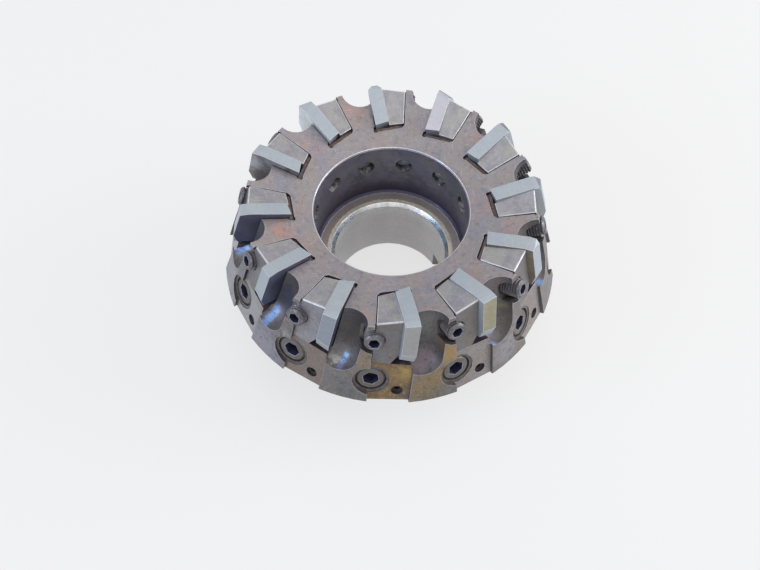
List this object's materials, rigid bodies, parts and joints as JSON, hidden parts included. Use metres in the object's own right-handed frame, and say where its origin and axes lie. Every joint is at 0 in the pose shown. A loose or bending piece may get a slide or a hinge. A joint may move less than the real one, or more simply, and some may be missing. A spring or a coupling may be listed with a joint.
{
  "type": "face mill",
  "caption": "Indexable face mill: square inserts clamped by screwed wedges in pockets with ball-ended chip gullets, on a keyed hub with a bore and counterbore.",
  "frame": {"origin": "middle of the back face, on the mill's axis", "axes": "+Z along the mill's axis from the back face towards the cutting face; +X along the key slots and through the first station; stations follow counter-clockwise seen from +Z"},
  "size_m": [0.1138, 0.1138, 0.0565],
  "materials": {
    "body_steel": "hardened tool steel, machined, brownish grey and stained, with olive and golden tints on the rim",
    "carbide": "ground cemented carbide, light blue-grey with fine grinding lines",
    "wedge_steel": "machined hardened steel, mottled grey with bright worn edges",
    "screw_steel": "dark oxidised socket screws with worn brighter ends"
  },
  "bodies": {
    "root": {"cutter_body": "body_steel", "insert_01": "carbide", "insert_02": "carbide", "insert_03": "carbide", "insert_04": "carbide", "insert_05": "carbide", "insert_06": "carbide", "insert_07": "carbide", "insert_08": "carbide", "insert_09": "carbide", "insert_10": "carbide", "insert_11": "carbide", "insert_12": "carbide", "wedge_01": "wedge_steel", "wedge_02": "wedge_steel", "wedge_03": "wedge_steel", "wedge_04": "wedge_steel", "wedge_05": "wedge_steel", "wedge_06": "wedge_steel", "wedge_07": "wedge_steel", "wedge_08": "wedge_steel", "wedge_09": "wedge_steel", "wedge_10": "wedge_steel", "wedge_11": "wedge_steel", "wedge_12": "wedge_steel", "wedge_screw_01": "screw_steel", "wedge_screw_02": "screw_steel", "wedge_screw_03": "screw_steel", "wedge_screw_04": "screw_steel", "wedge_screw_05": "screw_steel", "wedge_screw_06": "screw_steel", "wedge_screw_07": "screw_steel", "wedge_screw_08": "screw_steel", "wedge_screw_09": "screw_steel", "wedge_screw_10": "screw_steel", "wedge_screw_11": "screw_steel", "wedge_screw_12": "screw_steel", "rim_screw_01": "screw_steel", "rim_screw_02": "screw_steel", "rim_screw_03": "screw_steel", "rim_screw_04": "screw_steel", "rim_screw_05": "screw_steel", "rim_screw_06": "screw_steel", "rim_screw_07": "screw_steel", "rim_screw_08": "screw_steel", "rim_screw_09": "screw_steel", "rim_screw_10": "screw_steel", "rim_screw_11": "screw_steel", "rim_screw_12": "screw_steel"}
  },
  "joints": []
}
